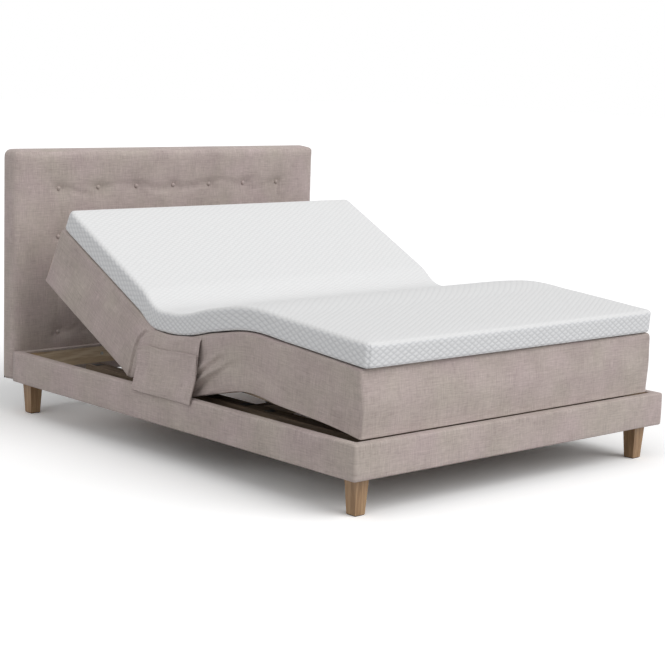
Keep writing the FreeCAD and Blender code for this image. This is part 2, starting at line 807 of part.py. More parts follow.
def main():
    os.makedirs("parts", exist_ok=True)
    build_headboard()
    build_base(build_bed_frame())
    build_side_flaps()
    build_section("seat", keep, ("back", "thigh"))
    build_section("back", raise_back, ("back",))
    build_section("thigh", raise_thigh, ("thigh", "knee"))
    build_section("leg", raise_leg, ("knee",))
    write("hinge_pins", *both_sides([make_pin("back"), make_pin("thigh")]))
    write("knee_hinge_pins", *[raise_thigh(pin) for pin in both_sides([make_pin("knee")])])
    write("back_lever", raise_back(make_lever(back_hinge_y, 1, back_travel, drive_x)))
    write("thigh_lever", raise_thigh(make_lever(thigh_hinge_y, -1, thigh_travel, -drive_x)))
    build_drive("back", back_hinge_y, 1, back_travel, back_at_rest, drive_x)
    build_drive("thigh", thigh_hinge_y, -1, thigh_travel, thigh_at_rest, -drive_x)
    build_control_box()


main()
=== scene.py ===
import json
import math

import bmesh
import bpy
import numpy as np
from mathutils import Matrix, Vector


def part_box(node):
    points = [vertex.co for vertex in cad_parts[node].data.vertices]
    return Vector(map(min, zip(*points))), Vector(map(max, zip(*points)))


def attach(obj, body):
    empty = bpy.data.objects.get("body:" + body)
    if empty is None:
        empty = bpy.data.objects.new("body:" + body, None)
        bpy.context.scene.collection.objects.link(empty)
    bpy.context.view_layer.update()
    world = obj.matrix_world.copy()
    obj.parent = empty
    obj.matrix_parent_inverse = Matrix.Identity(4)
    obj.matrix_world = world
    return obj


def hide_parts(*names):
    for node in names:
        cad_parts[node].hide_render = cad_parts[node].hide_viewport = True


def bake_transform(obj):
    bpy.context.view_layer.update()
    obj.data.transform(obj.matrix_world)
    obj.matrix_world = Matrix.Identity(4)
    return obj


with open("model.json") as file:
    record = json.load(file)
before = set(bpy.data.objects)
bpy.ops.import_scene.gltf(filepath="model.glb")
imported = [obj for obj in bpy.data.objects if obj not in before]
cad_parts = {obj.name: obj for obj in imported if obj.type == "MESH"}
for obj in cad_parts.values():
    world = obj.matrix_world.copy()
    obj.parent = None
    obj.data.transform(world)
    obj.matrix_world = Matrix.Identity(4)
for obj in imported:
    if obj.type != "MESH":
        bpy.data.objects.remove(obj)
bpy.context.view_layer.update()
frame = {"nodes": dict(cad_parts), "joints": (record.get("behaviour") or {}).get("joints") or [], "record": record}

# Adjustable bed.  Metres, in the CAD frame: +Z up, headboard at +Y, foot at -Y, left is -X.
# The mattress pieces are built lying flat, where their CAD sections are plain, and are then
# bent up to the position at rest about the CAD hinges.

JOINTS = {joint["name"]: joint for joint in frame["joints"]}
random = np.random.default_rng(7)


# ------------------------ the bed's own dimensions
def low_high(node):
    low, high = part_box(node)
    return np.array(low), np.array(high)


PADDING_LOW, PADDING_HIGH = low_high("headboard_padding")
FOOT_COVER_LOW, FOOT_COVER_HIGH = low_high("rail_cover_foot")
SIDE_BOARD_LOW, SIDE_BOARD_HIGH = low_high("side_rail_right")
FOOT_BOARD_HIGH = low_high("foot_rail")[1]
SEAT_LOW, SEAT_HIGH = low_high("seat_upholstery")
SEAT_TOPPER_HIGH = low_high("seat_topper")[1]
FLAPS_LOW = low_high("side_flaps")[0]

BACK_PIVOT = np.array(JOINTS["back_hinge"]["pos_m"], float)
THIGH_PIVOT = np.array(JOINTS["thigh_hinge"]["pos_m"], float)
KNEE_PIVOT_RAISED = np.array(JOINTS["knee_hinge"]["pos_m"], float)
BACK_REST = -math.radians(JOINTS["back_hinge"]["range_deg"][0])
THIGH_REST = -math.radians(JOINTS["thigh_hinge"]["range_deg"][0])
KNEE_MARGIN = 0.1                                  # its range ends this far past flat
KNEE_REST = math.radians(JOINTS["knee_hinge"]["range_deg"][1] - KNEE_MARGIN)

HALF_WIDTH = PADDING_HIGH[0]
HEAD_Y = PADDING_LOW[1]
FOOT_Y = FOOT_COVER_LOW[1]
RAIL_INNER_X = SIDE_BOARD_LOW[0]
RAIL_INNER_Y = FOOT_BOARD_HIGH[1]
RAIL_BOTTOM, RAIL_TOP = FOOT_COVER_LOW[2], FOOT_COVER_HIGH[2]
BOX_HALF = SEAT_HIGH[0]
BOX_BOTTOM, BOX_TOP = SEAT_LOW[2], SEAT_HIGH[2]
TOPPER_HALF, TOPPER_TOP = SEAT_TOPPER_HIGH[0], SEAT_TOPPER_HIGH[2]
SECTION_GAP = THIGH_PIVOT[1] - BACK_PIVOT[1] + SEAT_HIGH[1] - SEAT_LOW[1]


# ------------------------ turning about the hinges
def turn_x(points, pivot, angle):
    """Turn points about the line along X through pivot; positive lifts the +Y side."""
    c, s = np.cos(angle), np.sin(angle)
    y, z = points[:, 1] - pivot[1], points[:, 2] - pivot[2]
    return np.column_stack([points[:, 0], pivot[1] + y * c - z * s, pivot[2] + y * s + z * c])


def raise_back(points, share=1.0):
    return turn_x(points, BACK_PIVOT, BACK_REST * share)


def raise_thigh(points, share=1.0):
    return turn_x(points, THIGH_PIVOT, -THIGH_REST * share)


KNEE_PIVOT = raise_thigh(KNEE_PIVOT_RAISED[None, :], -1.0)[0]


def raise_leg(points, share=1.0):
    return raise_thigh(turn_x(points, KNEE_PIVOT, KNEE_REST * share))


def lower_back(points):
    return raise_back(points, -1.0)


def lower_leg(points):
    return turn_x(raise_thigh(points, -1.0), KNEE_PIVOT, -KNEE_REST)


def flat_y_of(node, lower, pick):
    """A section's end when it lies flat, from its CAD box cloth at rest."""
    points = np.array([v.co for v in frame["nodes"][node].data.vertices], float)
    return pick(lower(points)[:, 1])


FLAT_HEAD_Y = flat_y_of("back_upholstery", lower_back, max)
FLAT_FOOT_Y = flat_y_of("leg_upholstery", lower_leg, min)


def smooth(t):
    """A soft step: 0 below t = 0, 1 above t = 1."""
    t = np.clip(t, 0, 1)
    return t * t * (3 - 2 * t)


def bell(distance, height, width):
    return height * np.exp(-(distance / width) ** 2)


class Bend:
    """The bend runs from start_y to end_y on the flat piece, between the heights low and
    high."""

    def __init__(self, bodies, turn, start_y, end_y, tilt, low, high):
        self.bodies, self.turn = bodies, turn
        side = 1 if end_y > start_y else -1
        self.way = np.array([0, side * math.cos(tilt), math.sin(tilt)])
        seam = np.array([[0, y, z] for y in (start_y, end_y) for z in (low, high)], float)
        self.first = max(turn(seam[:2], 0.0) @ self.way)
        self.last = min(turn(seam[2:], 1.0) @ self.way)

    def share(self, points):
        return smooth((points @ self.way - self.first) / (self.last - self.first))

    def place(self, flat):
        low, high = np.zeros(len(flat)), np.ones(len(flat))
        for _ in range(32):
            middle = (low + high) / 2
            over = self.share(self.turn(flat, middle)) > middle
            low, high = np.where(over, middle, low), np.where(over, high, middle)
        return self.turn(flat, (low + high) / 2)

    def blend(self, piece):
        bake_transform(piece)


# ------------------------ meshes
def new_object(name, points, faces, uvs=None, smooth_faces=True):
    """A mesh piece; uvs holds one (u, v) in metres for each corner of each face."""
    mesh = bpy.data.meshes.new(name)
    mesh.from_pydata([tuple(p) for p in np.asarray(points, float)], [], faces)
    if uvs is not None:
        layer = mesh.uv_layers.new(name="cloth")
        layer.data.foreach_set("uv", np.asarray(uvs, np.float32).ravel())
    mesh.polygons.foreach_set("use_smooth", [smooth_faces] * len(mesh.polygons))
    mesh.update()
    obj = bpy.data.objects.new(name, mesh)
    bpy.context.scene.collection.objects.link(obj)
    return obj


def read(items, name):
    """One vector for each of a mesh's vertices or faces."""
    values = np.empty(len(items) * 3, np.float32)
    items.foreach_get(name, values)
    return values.reshape(-1, 3).astype(float)


def read_points(obj):
    return read(obj.data.vertices, "co")


def write_points(obj, points):
    obj.data.vertices.foreach_set("co", np.asarray(points, np.float32).ravel())
    obj.data.update()


def stations(low, high, low_radius, high_radius, step, extra=()):
    """Grid lines across a box: close together in its rounded edges, evenly spaced between."""
    shares = [1 - math.tan(math.radians(a)) for a in (45, 30, 15)]
    marks = sorted([low + low_radius, high - high_radius] + list(extra))
    inner = []
    for a, b in zip(marks, marks[1:]):
        count = max(1, round((b - a) / step))
        inner += [a + (b - a) * i / count for i in range(count)]
    return np.array([low + low_radius * e for e in shares] + inner + [high - high_radius]
                    + [high - high_radius * e for e in reversed(shares)])


def rounded_box(name, low, high, low_radii, high_radii, steps, extra=((), (), ())):
    """A closed box of quads with rounded edges: radii at each end and a grid step per axis."""
    low, high, low_radii, high_radii = np.array((low, high, low_radii, high_radii), float)
    lines = [stations(low[a], high[a], low_radii[a], high_radii[a], steps[a], extra[a])
             for a in range(3)]
    last = [len(line) - 1 for line in lines]
    index, points, faces, uvs = {}, [], [], []

    def vertex(key):
        if key not in index:
            index[key] = len(points)
            points.append([lines[c][key[c]] for c in range(3)])
        return index[key]

    for axis in range(3):
        a, b = [(1, 2), (2, 0), (0, 1)][axis]
        for end in (0, last[axis]):
            for p in range(last[a]):
                for q in range(last[b]):
                    ring = [(p, q), (p + 1, q), (p + 1, q + 1), (p, q + 1)]
                    if end == 0:
                        ring.reverse()
                    corners = []
                    for m, n in ring:
                        key = [0, 0, 0]
                        key[axis], key[a], key[b] = end, m, n
                        corners.append(vertex(tuple(key)))
                        uvs.append([lines[c][key[c]] for c in range(3) if c != axis])
                    faces.append(corners)
    points = np.array(points)
    centre = np.clip(points, low + low_radii, high - high_radii)
    radii = np.where(points < centre, low_radii, high_radii)
    away = (points - centre) / radii
    length = np.linalg.norm(away, axis=1, keepdims=True)
    points = centre + radii * away / np.maximum(length, 1e-9)
    return new_object(name, points, faces, uvs)


def subdivide(obj):
    """Apply one level of Catmull-Clark subdivision."""
    modifier = obj.modifiers.new("Smooth", "SUBSURF")
    modifier.levels = modifier.render_levels = 1
    modifier.boundary_smooth = "PRESERVE_CORNERS"
    apply_modifiers(obj)


def apply_modifiers(obj):
    graph = bpy.context.evaluated_depsgraph_get()
    graph.update()
    mesh = bpy.data.meshes.new_from_object(obj.evaluated_get(graph), depsgraph=graph)
    obj.modifiers.clear()
    old, obj.data = obj.data, mesh
    bpy.data.meshes.remove(old)


def puff(obj, pressure, cap, pinned, stiffness=15.0, frames=20):
    """Inflate a closed piece as cloth and keep each point within cap metres of its start."""
    start = read_points(obj)
    group = obj.vertex_groups.new(name="pinned")
    for vertex in np.flatnonzero(pinned > 0):
        group.add([int(vertex)], float(pinned[vertex]), "REPLACE")
    modifier = obj.modifiers.new("Cloth", "CLOTH")
    cloth = modifier.settings
    cloth.quality = 6
    cloth.mass = 0.3
    cloth.tension_stiffness = cloth.compression_stiffness = stiffness
    cloth.shear_stiffness = stiffness / 2
    cloth.bending_stiffness = 0.5
    cloth.air_damping = 2.0
    cloth.use_pressure = True
    cloth.uniform_pressure_force = pressure
    cloth.vertex_group_mass = "pinned"
    cloth.effector_weights.gravity = 0
    modifier.point_cache.frame_end = frames
    for step in range(1, frames + 1):
        bpy.context.scene.frame_set(step)
    graph = bpy.context.evaluated_depsgraph_get()
    move = read(obj.evaluated_get(graph).to_mesh().vertices, "co") - start
    obj.evaluated_get(graph).to_mesh_clear()
    length = np.linalg.norm(move, axis=1, keepdims=True)
    move *= np.minimum(1, cap / np.maximum(length, 1e-9))
    obj.modifiers.clear()
    obj.vertex_groups.clear()
    bpy.context.scene.frame_set(1)
    write_points(obj, start + move)


def split_piece(obj, name, keep_faces):
    """A new piece with some of obj's faces, closed at the cut, shaded as the whole is."""
    source = obj.data
    normals = {tuple(np.round(v.co, 6)): tuple(v.normal) for v in source.vertices}
    index, points, faces, uvs, kinds = {}, [], [], [], []
    layer = source.uv_layers[0].data
    for face in source.polygons:
        if not keep_faces[face.index]:
            continue
        kinds.append(face.material_index)
        corners = []
        for loop in face.loop_indices:
            vertex = source.loops[loop].vertex_index
            if vertex not in index:
                index[vertex] = len(points)
                points.append(tuple(source.vertices[vertex].co))
            corners.append(index[vertex])
            uvs.append(tuple(layer[loop].uv))
        faces.append(corners)
    piece = new_object(name, points, faces, uvs)
    piece.data.polygons.foreach_set("material_index", kinds)
    close_openings(piece)
    mesh = piece.data
    mesh.normals_split_custom_set_from_vertices(
        [normals[tuple(np.round(v.co, 6))] for v in mesh.vertices])
    return piece


def close_openings(piece):
    """Fill each open loop of edges with one flat cap."""
    work = bmesh.new()
    work.from_mesh(piece.data)
    rim = [edge for edge in work.edges if edge.is_boundary]
    made = bmesh.ops.holes_fill(work, edges=rim, sides=0)
    for face in made["faces"]:
        face.smooth = False
        for edge in face.edges:
            edge.smooth = False
    work.to_mesh(piece.data)
    work.free()
    piece.data.update()


# ------------------------ materials
class Nodes:
    """Short calls for one material's node tree."""

    def __init__(self, name):
        self.material = bpy.data.materials.new(name)
        self.material.use_nodes = True
        self.tree = self.material.node_tree
        self.shader = self.tree.nodes["Principled BSDF"]

    def feed(self, node, inputs):
        """Link or set a node's inputs."""
        for key, value in dict(inputs).items():
            if isinstance(value, bpy.types.NodeSocket):
                self.tree.links.new(value, node.inputs[key])
            else:
                node.inputs[key].default_value = value

    def make(self, kind, inputs=(), **settings):
        node = self.tree.nodes.new(kind)
        for key, value in settings.items():
            setattr(node, key, value)
        self.feed(node, inputs)
        return node

    def uv(self, u, v, turn=0.0):
        place = self.make("ShaderNodeUVMap", uv_map="cloth").outputs["UV"]
        return self.mapped(place, (u, v, 1), turn)

    def place(self, scale=(1, 1, 1)):
        return self.mapped(self.make("ShaderNodeTexCoord").outputs["Object"], scale)

    def mapped(self, place, scale, turn=0.0):
        node = self.make("ShaderNodeMapping", {"Vector": place, "Scale": scale,
                                               "Rotation": (0, 0, turn)})
        return node.outputs["Vector"]

    def noise(self, place, scale=1.0, detail=2.0, rough=0.5):
        node = self.make("ShaderNodeTexNoise", {"Vector": place, "Scale": scale,
                                                "Detail": detail, "Roughness": rough})
        return node.outputs["Fac"]

    def math(self, operation, a, b=0.0):
        node = self.make("ShaderNodeMath", {0: a, 1: b}, operation=operation)
        return node.outputs["Value"]

    def total(self, *parts):
        """The weighted sum of (value, weight) pairs."""
        result = 0.0
        for value, weight in parts:
            result = self.math("ADD", self.math("MULTIPLY", value, weight), result)
        return result

    def ramp(self, value, *stops):
        node = self.make("ShaderNodeValToRGB", {"Fac": value})
        elements = node.color_ramp.elements
        while len(elements) < len(stops):
            elements.new(0.5)
        for element, (position, colour) in zip(elements, stops):
            element.position = position
            element.color = (*colour, 1)
        return node.outputs["Color"]

    def range(self, value, low, high):
        node = self.make("ShaderNodeMapRange", {"Value": value, "To Min": low, "To Max": high})
        return node.outputs["Result"]

    def finish(self, colour, rough, height=None, depth=0.001, sheen=0.0, metallic=0.0):
        """Feed the shader, with a bump whose height is in units of depth metres."""
        self.feed(self.shader, {"Base Color": colour, "Roughness": rough,
                                "Sheen Weight": sheen, "Metallic": metallic})
        if height is not None:
            bump = self.make("ShaderNodeBump", {"Height": height, "Distance": depth})
            self.feed(self.shader, {"Normal": bump.outputs["Normal"]})
        return self.material


def linen(name, dark, middle, light):
    """Woven upholstery cloth: two sets of uneven yarns, slubs and soft mottling."""
    n = Nodes(name)
    warp = n.noise(n.uv(520, 34), detail=1.5)
    weft = n.noise(n.uv(34, 520), detail=1.5)
    slub_up = n.noise(n.uv(210, 11))
    slub_across = n.noise(n.uv(10, 190))
    mottle = n.noise(n.uv(7, 7), detail=3.0)
    tone = n.total((warp, 0.26), (weft, 0.26), (slub_up, 0.2), (slub_across, 0.2),
                   (mottle, 0.22))
    yarns = n.ramp(tone, (0.43, dark), (0.57, middle), (0.71, light))
    tint = n.ramp(n.noise(n.uv(4.5, 4.5, 0.7)),
                  (0.35, (1.0, 0.95, 0.945)), (0.65, (0.97, 0.97, 0.9)))
    colour = n.make("ShaderNodeMixRGB", {0: 1.0, 1: yarns, 2: tint},
                    blend_type="MULTIPLY").outputs[0]
    yarn = n.make("ShaderNodeSeparateXYZ", {0: n.uv(2400, 2400)})
    weave = n.math("MULTIPLY", n.math("SINE", yarn.outputs["X"]),
                   n.math("SINE", yarn.outputs["Y"]))
    height = n.total((weave, 0.25), (slub_up, 0.6), (slub_across, 0.6), (warp, 0.4), (weft, 0.4))
    return n.finish(colour, n.range(tone, 0.8, 0.95), height, 0.0008, sheen=0.1)


def knit(name, low, high, depth):
    """Jacquard knit quilted into a lattice of small diamonds, its sunken channels darkened as painted shade."""
    n = Nodes(name)
    place = n.make("ShaderNodeSeparateXYZ", {0: n.uv(88, 140)})
    u, v = place.outputs["X"], place.outputs["Y"]
    wobble = n.math("MULTIPLY", n.noise(n.uv(14, 14)), 0.8)

    def channels(diagonal):
        wave = n.math("SINE", n.math("ADD", diagonal, wobble))
        return n.math("POWER", n.math("ABSOLUTE", wave), 0.7)

    rising, falling = channels(n.math("SUBTRACT", u, v)), channels(n.math("ADD", u, v))
    relief_and_shade = n.math("MULTIPLY", rising, n.total((falling, 0.75), (0.25, 1.0)))
    loops = n.noise(n.uv(900, 900), detail=1.0)
    patches = n.noise(n.uv(60, 60))
    # painted shade: the colour follows the relief, darker along the channels; loops and patches are the yarn's own
    # tone
    tone = n.total((relief_and_shade, 0.7), (loops, 0.15), (patches, 0.15))
    colour = n.ramp(tone, (0.1, low), (0.75, high))
    return n.finish(colour, 0.9, n.total((relief_and_shade, 1.0), (loops, 0.08)), depth, sheen=0.1)


def lining(name, dark, light):
    """Thin non-woven lining with a pressed dimple grid."""
    n = Nodes(name)
    dots = n.make("ShaderNodeTexVoronoi", {"Vector": n.place(), "Scale": 420.0})
    fibre = n.noise(n.place((60, 60, 300)), detail=4.0)
    tone = n.total((fibre, 0.7), (dots.outputs["Distance"], 0.5))
    colour = n.ramp(tone, (0.3, dark), (0.8, light))
    return n.finish(colour, 0.9, dots.outputs["Distance"], 0.0006)


def wood(name, axis, dark, middle, light, rough, ring=26.0):
    """Planed timber with its grain along one axis, with rings, pores and a few darker streaks."""
    n = Nodes(name)

    def drawn_out(across, along):
        return n.place(tuple(along if a == axis else across for a in range(3)))

    flow = n.noise(drawn_out(ring, 1.3), detail=5.0, rough=0.55)
    pores = n.noise(drawn_out(900.0, 22.0))
    bands = n.noise(drawn_out(9.0, 0.5), detail=1.0)
    rings = n.math("SINE", n.math("MULTIPLY", flow, 38))
    tone = n.total((rings, 0.13), (flow, 0.35), (pores, 0.3), (bands, 0.3))
    colour = n.ramp(tone, (0.3, dark), (0.48, middle), (0.68, light))
    return n.finish(colour, n.range(pores, rough - 0.08, rough + 0.14),
                    n.total((pores, 0.7), (rings, 0.1)), 0.0006)


def powder_coat(name, colour):
    """Powder-coated steel: fine orange peel and slightly worn gloss."""
    n = Nodes(name)
    peel = n.noise(n.place(), 1400.0)
    wear = n.noise(n.place(), 14.0, 4.0)
    paler = tuple(c * 1.7 + 0.01 for c in colour)
    return n.finish(n.ramp(wear, (0.35, colour), (0.8, paler)), n.range(wear, 0.38, 0.6),
                    peel, 0.0004)


def zinc(name):
    """Zinc plating: pale steel with a mottled, slightly yellow bloom."""
    n = Nodes(name)
    bloom = n.noise(n.place(), 60.0, 4.0)
    scratch = n.noise(n.place((30, 900, 900)))
    colour = n.ramp(bloom, (0.3, (0.55, 0.55, 0.53)), (0.7, (0.72, 0.71, 0.66)))
    return n.finish(colour, n.range(bloom, 0.28, 0.5), scratch, 0.0003, metallic=1.0)


def plastic(name, colour):
    """Moulded plastic with a spark-eroded grain."""
    n = Nodes(name)
    grain = n.noise(n.place(), 900.0, 3.0)
    wear = n.noise(n.place(), 9.0, 3.0)
    paler = tuple(c * 1.5 + 0.005 for c in colour)
    return n.finish(n.ramp(wear, (0.3, colour), (0.8, paler)), n.range(grain, 0.45, 0.62),
                    grain, 0.0005)


CLOTH = linen("upholstery_linen", (0.345, 0.290, 0.279), (0.465, 0.400, 0.387),
              (0.59, 0.518, 0.503))
KNIT = knit("topper_knit", (0.69, 0.692, 0.695), (0.745, 0.746, 0.748), 0.0008)
# the border: the same knit with a deeper bump and a darker low colour, so deeper painted shade in its channels
KNIT_SIDE = knit("topper_border_knit", (0.6, 0.608, 0.625), (0.745, 0.75, 0.76), 0.0018)
LINING = lining("back_lining", (0.02, 0.018, 0.017), (0.06, 0.055, 0.05))
OAK = wood("oak", 2, (0.25, 0.145, 0.07), (0.34, 0.205, 0.105), (0.41, 0.265, 0.145), 0.42)
PINE = [wood("pine_" + "xyz"[axis], axis, (0.5, 0.37, 0.23), (0.66, 0.52, 0.36),
             (0.78, 0.65, 0.48), 0.62, 16.0) for axis in range(3)]
# dark copies of the pine for the boards under the mattress: painted shade for the unlit void there
SHADE_DARK_PINE = [wood("shade_dark_pine_" + "xyz"[axis], axis, (0.09, 0.062, 0.04),
                (0.14, 0.1, 0.066), (0.19, 0.14, 0.095), 0.6, 16.0) for axis in range(3)]
STEEL = powder_coat("black_powder_coat", (0.02, 0.02, 0.022))
PLATING = zinc("zinc_plate")
PLASTIC = plastic("black_plastic", (0.022, 0.022, 0.024))

# the axis of the grain where it isn't Y, and the boards under the mattress, given dark wood as painted shade
GRAIN = {"foot_rail": 0, "head_rail": 0, "cross_bearers": 0, "headboard_panel": 0,
         "corner_blocks": 2}
SHADE_DARK_NODES = ("base_rail_left", "base_rail_right", "cross_bearers", "ledge_battens",
                 "seat_frame", "thigh_frame", "leg_frame")


def finish_cad_nodes():
    """Give every CAD node the material of its record slot; timber runs along each board, and the boards under the
    mattress get dark pine as painted shade.
    """
    by_slot = {"upholstery_cloth": CLOTH, "topper_knit": KNIT, "back_lining": LINING,
               "oak": OAK, "painted_steel": STEEL, "plated_steel": PLATING,
               "dark_plastic": PLASTIC}
    slots = {part["node"]: part["material_slot"] for part in frame["record"]["subparts"]}
    for node, obj in frame["nodes"].items():
        # painted shade: the boards under the mattress get the dark pine
        timber = SHADE_DARK_PINE if node in SHADE_DARK_NODES else PINE
        material = by_slot.get(slots[node]) or timber[GRAIN.get(node, 1)]
        obj.data.materials.clear()
        obj.data.materials.append(material)


def dress(piece, material, slot, fill=None, second=None):
    """Give a piece its material; the slot and fill arguments are not used.

    Faces marked with index 1 get the second material."""
    kinds = [face.material_index for face in piece.data.polygons]
    piece.data.materials.clear()
    for kind in (material, second) if second else (material,):
        piece.data.materials.append(kind)
    piece.data.polygons.foreach_set("material_index", kinds)


def cut_up(whole, parts, *look):
    """Split a bent piece at its seams into parts: (name, bend, faces, CAD nodes) rows."""
    for name, bend, faces, nodes in parts:
        piece = split_piece(whole, name, faces)
        bend.blend(piece)
        dress(piece, *look)
        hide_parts(*nodes)
    bpy.data.objects.remove(whole)


# ------------------------ mattress: seams and bends
SEAT_SEAM_Y = (BACK_PIVOT[1] + THIGH_PIVOT[1]) / 2
THIGH_SEAM_Y = (THIGH_PIVOT[1] + KNEE_PIVOT[1]) / 2
BACK_BEND_END = BACK_PIVOT[1] + 0.17
KNEE_BEND_END = KNEE_PIVOT[1] - 0.22
BACK_BEND = ("frame", "back"), raise_back, SEAT_SEAM_Y, BACK_BEND_END, BACK_REST / 2
THIGH_BEND = ("frame", "thigh"), raise_thigh, SEAT_SEAM_Y, THIGH_SEAM_Y, THIGH_REST / 2
KNEE_BEND = ("thigh", "leg"), raise_leg, THIGH_SEAM_Y, KNEE_BEND_END, THIGH_REST - KNEE_REST / 2
SEAT_SINK, KNEE_SINK = 0.014, 0.009


def settle(y):
    """How far the box's top sinks: in the seat's valley and, less, over the knee."""
    return bell(y - SEAT_SEAM_Y, SEAT_SINK, 0.11) + bell(y - KNEE_PIVOT[1], KNEE_SINK, 0.13)


# ------------------------ topper
TOPPER_CORNER = 0.035                              # radius of its upright corners
TOPPER_CRUSH = 0.006                               # how much thinner it is in the seat's valley


def mark_border(obj, low_z, high_z):
    """Put the faces round the topper's sides in the second material slot."""
    for face in obj.data.polygons:
        upright = abs(face.normal[2]) < 0.55 and low_z < face.center[2] < high_z
        face.material_index = int(upright)


def round_in_plan(flat, half, radius):
    """Round a flat piece's four upright corners, seen from above, to arcs of the radius."""
    middle, reach = (FLAT_FOOT_Y + FLAT_HEAD_Y) / 2, (FLAT_HEAD_Y - FLAT_FOOT_Y) / 2
    for sign_x in (-1, 1):
        for sign_y in (-1, 1):
            across = flat[:, 0] * sign_x - (half - radius)
            along = (flat[:, 1] - middle) * sign_y - (reach - radius)
            at = (across > 0) & (along > 0)
            pull = np.maximum(across, along)[at] / np.hypot(across, along)[at]
            flat[at, 0] = sign_x * (half - radius + across[at] * pull)
            flat[at, 1] = middle + sign_y * (reach - radius + along[at] * pull)


def make_topper():
    """A thick knitted foam topper: built flat, softened as cloth, bent, and split at seams."""
    low = np.array([-TOPPER_HALF, FLAT_FOOT_Y + 0.004, BOX_TOP + 0.001])
    high = np.array([TOPPER_HALF, FLAT_HEAD_Y, TOPPER_TOP])
    shrink = np.array([0.002, 0.002, 0.001])
    whole = rounded_box("topper", low + shrink, high - shrink, (0.02, 0.02, 0.012),
                        (0.02, 0.02, 0.02), (0.026, 0.026, 0.016),
                        ((), (THIGH_SEAM_Y, SEAT_SEAM_Y), ()))
    flat = read_points(whole)
    under = flat[:, 2] < low[2] + shrink[2] + 0.004
    puff(whole, 4.0, 0.003, np.where(under, 1.0, 0.0))
    flat = read_points(whole)
    top = np.clip((flat[:, 2] - low[2]) / (high[2] - low[2]), 0, 1)
    crush = bell(flat[:, 1] - SEAT_SEAM_Y, TOPPER_CRUSH, 0.17)
    flat[:, 2] -= crush * top + settle(flat[:, 1])
    round_in_plan(flat, TOPPER_HALF, TOPPER_CORNER)
    write_points(whole, flat)
    subdivide(whole)
    mark_border(whole, low[2], high[2])
    flat = read_points(whole)
    face_y = read(whole.data.polygons, "center")[:, 1]
    back, thigh, knee = (Bend(*bend, low[2], high[2])
                         for bend in (BACK_BEND, THIGH_BEND, KNEE_BEND))
    y = flat[:, 1, None]
    write_points(whole, np.where(y > SEAT_SEAM_Y, back.place(flat),
                                 np.where(y > THIGH_SEAM_Y, thigh.place(flat),
                                          knee.place(flat))))
    behind, before = face_y > SEAT_SEAM_Y, face_y <= THIGH_SEAM_Y
    cut_up(whole, [("topper_back", back, behind, ["back_topper"]),
                   ("topper_seat", thigh, ~behind & ~before, ["seat_topper", "thigh_topper"]),
                   ("topper_leg", knee, before, ["leg_topper"])],
           KNIT, "topper_knit", 0.8, KNIT_SIDE)


# ------------------------ upholstered box
def beside_curve(points, half, y_z_curve, width):
    """Where points lie by a curve drawn on the box's two sides.

    The signed distance across in widths, the share along, and 1 on the sides, 0 inside."""
    curve = np.array(y_z_curve)
    best = np.full(len(points), np.inf)
    along, sign = np.zeros(len(points)), np.zeros(len(points))
    lengths = np.linalg.norm(np.diff(curve, axis=0), axis=1)
    reach = np.concatenate([[0], np.cumsum(lengths)]) / lengths.sum()
    flat = points[:, 1:]
    for a, b, r0, r1 in zip(curve, curve[1:], reach, reach[1:]):
        d = b - a
        t = np.clip(((flat - a) @ d) / (d @ d), 0, 1)
        off = flat - (a + t[:, None] * d)
        distance = np.linalg.norm(off, axis=1)
        nearer = distance < best
        best = np.where(nearer, distance, best)
        along = np.where(nearer, r0 + t * (r1 - r0), along)
        sign = np.where(nearer, np.sign(d[0] * off[:, 1] - d[1] * off[:, 0]), sign)
    outside = np.clip((np.abs(points[:, 0]) - half + 0.03) / 0.02, 0, 1)
    return best / width * sign, along, outside


# folds of slack cloth on the box's sides, on the flap's foot side: (y, z) points at rest,
# then the ridge's height and width
SIDE_FOLDS = [
    ([(-0.158, 0.350), (-0.202, 0.390), (-0.248, 0.421), (-0.293, 0.452), (-0.339, 0.476)],
     0.014, 0.017),
    ([(-0.158, 0.304), (-0.203, 0.343), (-0.231, 0.363), (-0.295, 0.399), (-0.358, 0.438),
      (-0.407, 0.463)], 0.019, 0.018),
    ([(-0.150, 0.274), (-0.205, 0.286), (-0.252, 0.299), (-0.300, 0.324)], 0.015, 0.015),
]
FOLD_FLARE, FOLD_CREASE = 0.008, 0.005             # extra height at the flap, groove's depth


def pull_folds(obj, half):
    """Raise each fold as a soft ridge, steep on its lower side, fading towards its end."""
    points = read_points(obj)
    push, crease = np.zeros(len(points)), np.zeros(len(points))
    for curve, height, width in SIDE_FOLDS:
        across, along, outside = beside_curve(points, half, curve, width)
        fade = np.cos(np.clip(along, 0, 1) * math.pi / 2) ** 0.8
        ridge = np.exp(-np.abs(across / np.where(across > 0, 0.5, 1.1)) ** 1.6)
        rise = height * fade + FOLD_FLARE * np.exp(-along / 0.12)
        push = np.maximum(push, rise * ridge * outside)
        crease = np.maximum(crease, fade * outside * bell(across - 1.0, FOLD_CREASE, 0.35))
    points[:, 0] += np.sign(points[:, 0]) * (push - crease)
    write_points(obj, points)


def box_piece(name, y0, y1, inset, y_lines):
    """A part of the box, lying flat: softened as cloth, but held flat below and at the hinge."""
    low = np.array([-BOX_HALF + inset, y0, BOX_BOTTOM - 0.0004])
    high = np.array([BOX_HALF - inset, y1, BOX_TOP])
    shrink = np.array([0.0025, 0.0015, 0.001])     # room for the cloth to swell
    piece = rounded_box(name, low + shrink * (1, 1, 0), high - shrink, (0.012, 0.012, 0.004),
                        (0.012, 0.012, 0.024), (0.03, 0.022, 0.012), ((), y_lines, ()))
    flat = read_points(piece)
    under = flat[:, 2] < low[2] + 0.003
    at_hinge = np.abs(flat[:, 1] - BACK_PIVOT[1]) < 0.03
    puff(piece, 3.5, 0.004, np.where(under | at_hinge, 1.0, 0.0))
    return piece


